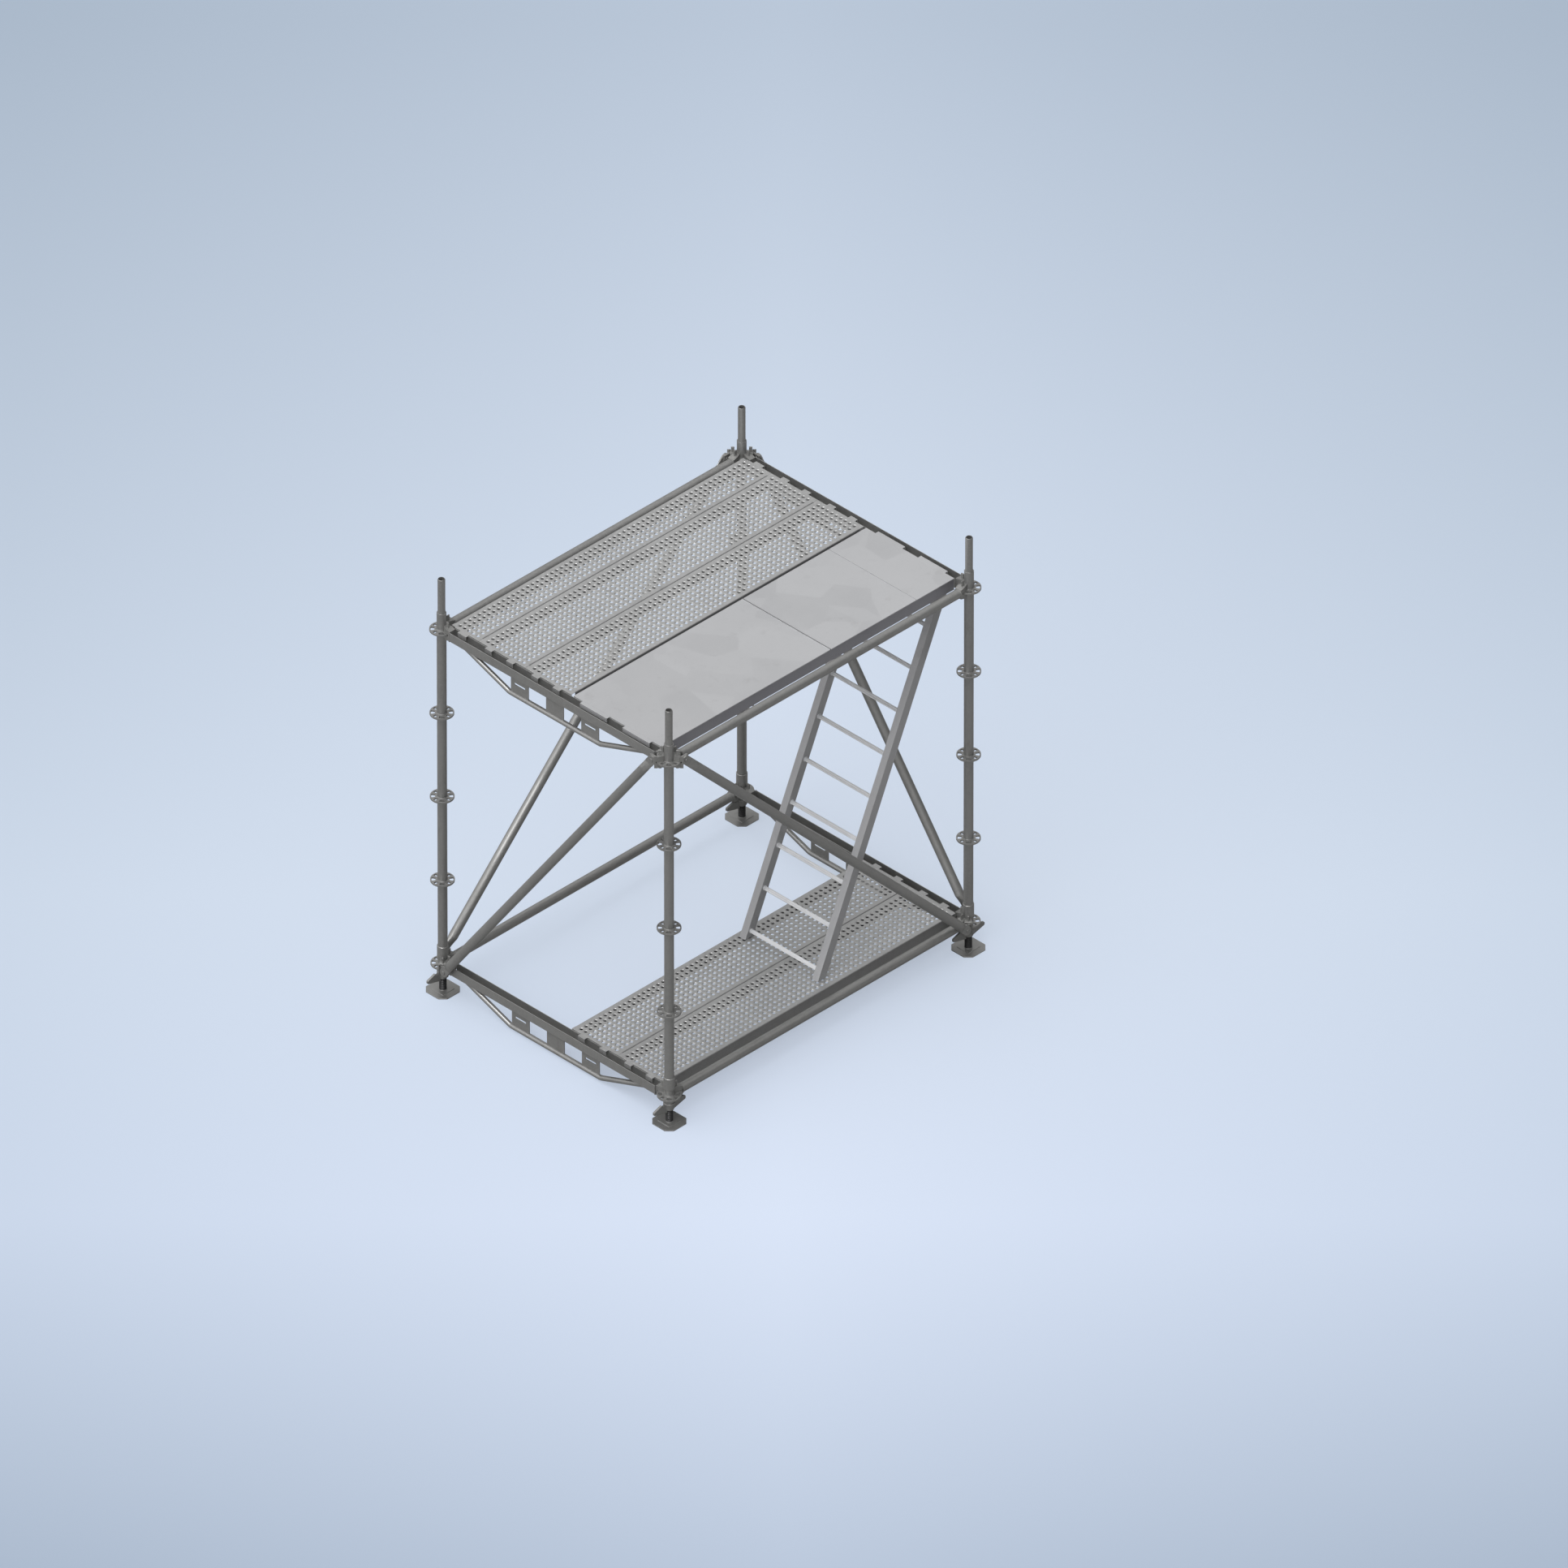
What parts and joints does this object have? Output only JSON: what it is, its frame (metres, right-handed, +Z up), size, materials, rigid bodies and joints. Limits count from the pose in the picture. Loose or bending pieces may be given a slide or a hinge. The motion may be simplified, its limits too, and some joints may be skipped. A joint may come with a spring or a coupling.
{
  "type": "modular scaffold bay",
  "caption": "Modular rosette scaffold bay on screw jacks, with perforated steel decks on two levels, a hatch deck and a leaning access ladder.",
  "frame": {"origin": "centre of the bay on the ground, under the middle of the four foot plates", "axes": "+X along the decks towards the ladder's head, +Y across the decks towards the narrow deck, +Z up"},
  "size_m": [2.288, 1.7324, 2.462],
  "materials": {
    "galvanised_steel": "hot-dip galvanised, weathered matt grey",
    "cast_steel": "hot-dip galvanised casting, slightly rough",
    "deck_steel": "bright galvanised sheet",
    "aluminium": "mill-finish extrusion and plate",
    "dark_steel": "dark, lightly oiled steel"
  },
  "bodies": {
    "frame": {"standard_front_left": "galvanised_steel", "standard_front_right": "galvanised_steel", "standard_rear_left": "galvanised_steel", "standard_rear_right": "galvanised_steel", "spigots": "galvanised_steel", "base_collars": "galvanised_steel", "rosettes": "galvanised_steel", "ledger_front_lower": "galvanised_steel", "ledger_front_upper": "galvanised_steel", "ledger_rear_lower": "galvanised_steel", "ledger_rear_upper": "galvanised_steel", "channel_ledger_left_lower": "galvanised_steel", "channel_ledger_left_upper": "galvanised_steel", "channel_ledger_right_lower": "galvanised_steel", "channel_ledger_right_upper": "galvanised_steel", "channel_ledger_struts": "galvanised_steel", "channel_ledger_gussets": "galvanised_steel", "brace_left": "galvanised_steel", "brace_front": "galvanised_steel", "brace_right": "galvanised_steel", "brace_rear": "galvanised_steel", "brace_rivets": "galvanised_steel", "ledger_heads": "cast_steel", "brace_heads": "cast_steel", "deck_upper_narrow": "deck_steel", "deck_upper_wide_rear": "deck_steel", "deck_upper_wide_front": "deck_steel", "deck_lower_rear": "deck_steel", "deck_lower_front": "deck_steel", "deck_hooks": "deck_steel", "access_deck_rails": "aluminium", "access_deck_crossbars": "aluminium", "access_deck_panels": "aluminium", "ladder_hangers": "galvanised_steel", "access_deck_hooks": "aluminium", "hatch_pin": "dark_steel", "ladder_pins": "dark_steel"},
    "nut_front_left": {"wing_nut_front_left": "cast_steel"},
    "jack_front_left": {"base_jack_front_left": "dark_steel"},
    "nut_front_right": {"wing_nut_front_right": "cast_steel"},
    "jack_front_right": {"base_jack_front_right": "dark_steel"},
    "nut_rear_left": {"wing_nut_rear_left": "cast_steel"},
    "jack_rear_left": {"base_jack_rear_left": "dark_steel"},
    "nut_rear_right": {"wing_nut_rear_right": "cast_steel"},
    "jack_rear_right": {"base_jack_rear_right": "dark_steel"},
    "hatch": {"hatch": "aluminium"},
    "ladder": {"ladder_stiles": "aluminium", "ladder_rungs": "aluminium"},
    "wedges_ledger_front_lower": {"wedges_ledger_front_lower": "cast_steel"},
    "wedges_ledger_front_upper": {"wedges_ledger_front_upper": "cast_steel"},
    "wedges_ledger_rear_lower": {"wedges_ledger_rear_lower": "cast_steel"},
    "wedges_ledger_rear_upper": {"wedges_ledger_rear_upper": "cast_steel"},
    "wedges_channel_left_lower": {"wedges_channel_left_lower": "cast_steel"},
    "wedges_channel_left_upper": {"wedges_channel_left_upper": "cast_steel"},
    "wedges_channel_right_lower": {"wedges_channel_right_lower": "cast_steel"},
    "wedges_channel_right_upper": {"wedges_channel_right_upper": "cast_steel"},
    "wedges_brace_left": {"wedges_brace_left": "cast_steel"},
    "wedges_brace_front": {"wedges_brace_front": "cast_steel"},
    "wedges_brace_right": {"wedges_brace_right": "cast_steel"},
    "wedges_brace_rear": {"wedges_brace_rear": "cast_steel"}
  },
  "joints": [
    {"name": "nut_front_left_turn", "type": "hinge", "parent": "frame", "child": "nut_front_left", "pos_m": [-1.036, -0.786, 0.1], "axis": [0, 0, 1], "range_deg": [-2475, 13500]},
    {"name": "jack_front_left_slide", "type": "slide", "parent": "frame", "child": "jack_front_left", "axis": [0, 0, 1], "range_m": [-0.3005, 0.0555]},
    {"name": "nut_front_right_turn", "type": "hinge", "parent": "frame", "child": "nut_front_right", "pos_m": [1.036, -0.786, 0.1], "axis": [0, 0, 1], "range_deg": [-2475, 13500]},
    {"name": "jack_front_right_slide", "type": "slide", "parent": "frame", "child": "jack_front_right", "axis": [0, 0, 1], "range_m": [-0.3005, 0.0555]},
    {"name": "nut_rear_left_turn", "type": "hinge", "parent": "frame", "child": "nut_rear_left", "pos_m": [-1.036, 0.786, 0.1], "axis": [0, 0, 1], "range_deg": [-2475, 13500]},
    {"name": "jack_rear_left_slide", "type": "slide", "parent": "frame", "child": "jack_rear_left", "axis": [0, 0, 1], "range_m": [-0.3005, 0.0555]},
    {"name": "nut_rear_right_turn", "type": "hinge", "parent": "frame", "child": "nut_rear_right", "pos_m": [1.036, 0.786, 0.1], "axis": [0, 0, 1], "range_deg": [-2475, 13500]},
    {"name": "jack_rear_right_slide", "type": "slide", "parent": "frame", "child": "jack_rear_right", "axis": [0, 0, 1], "range_m": [-0.3005, 0.0555]},
    {"name": "hatch_hinge", "type": "hinge", "parent": "frame", "child": "hatch", "pos_m": [0.154, -0.406, 2.192], "axis": [0, -1, 0], "range_deg": [0, 100]},
    {"name": "ladder_swing", "type": "hinge", "parent": "frame", "child": "ladder", "pos_m": [0.986, -0.3895, 2.092], "axis": [0, 1, 0], "range_deg": [0, 50]},
    {"name": "wedges_ledger_front_lower_lift", "type": "slide", "parent": "frame", "child": "wedges_ledger_front_lower", "axis": [0, 0, 1], "range_m": [0, 0.06]},
    {"name": "wedges_ledger_front_upper_lift", "type": "slide", "parent": "frame", "child": "wedges_ledger_front_upper", "axis": [0, 0, 1], "range_m": [0, 0.06]},
    {"name": "wedges_ledger_rear_lower_lift", "type": "slide", "parent": "frame", "child": "wedges_ledger_rear_lower", "axis": [0, 0, 1], "range_m": [0, 0.06]},
    {"name": "wedges_ledger_rear_upper_lift", "type": "slide", "parent": "frame", "child": "wedges_ledger_rear_upper", "axis": [0, 0, 1], "range_m": [0, 0.06]},
    {"name": "wedges_channel_left_lower_lift", "type": "slide", "parent": "frame", "child": "wedges_channel_left_lower", "axis": [0, 0, 1], "range_m": [0, 0.06]},
    {"name": "wedges_channel_left_upper_lift", "type": "slide", "parent": "frame", "child": "wedges_channel_left_upper", "axis": [0, 0, 1], "range_m": [0, 0.06]},
    {"name": "wedges_channel_right_lower_lift", "type": "slide", "parent": "frame", "child": "wedges_channel_right_lower", "axis": [0, 0, 1], "range_m": [0, 0.06]},
    {"name": "wedges_channel_right_upper_lift", "type": "slide", "parent": "frame", "child": "wedges_channel_right_upper", "axis": [0, 0, 1], "range_m": [0, 0.06]},
    {"name": "wedges_brace_left_lift", "type": "slide", "parent": "frame", "child": "wedges_brace_left", "axis": [0, 0, 1], "range_m": [0, 0.06]},
    {"name": "wedges_brace_front_lift", "type": "slide", "parent": "frame", "child": "wedges_brace_front", "axis": [0, 0, 1], "range_m": [0, 0.06]},
    {"name": "wedges_brace_right_lift", "type": "slide", "parent": "frame", "child": "wedges_brace_right", "axis": [0, 0, 1], "range_m": [0, 0.06]},
    {"name": "wedges_brace_rear_lift", "type": "slide", "parent": "frame", "child": "wedges_brace_rear", "axis": [0, 0, 1], "range_m": [0, 0.06]}
  ],
  "couplings": [
    {"joint": "jack_front_left_slide", "follows": "nut_front_left_turn", "m_per_rad": -0.0012732},
    {"joint": "jack_front_right_slide", "follows": "nut_front_right_turn", "m_per_rad": -0.0012732},
    {"joint": "jack_rear_left_slide", "follows": "nut_rear_left_turn", "m_per_rad": -0.0012732},
    {"joint": "jack_rear_right_slide", "follows": "nut_rear_right_turn", "m_per_rad": -0.0012732}
  ]
}
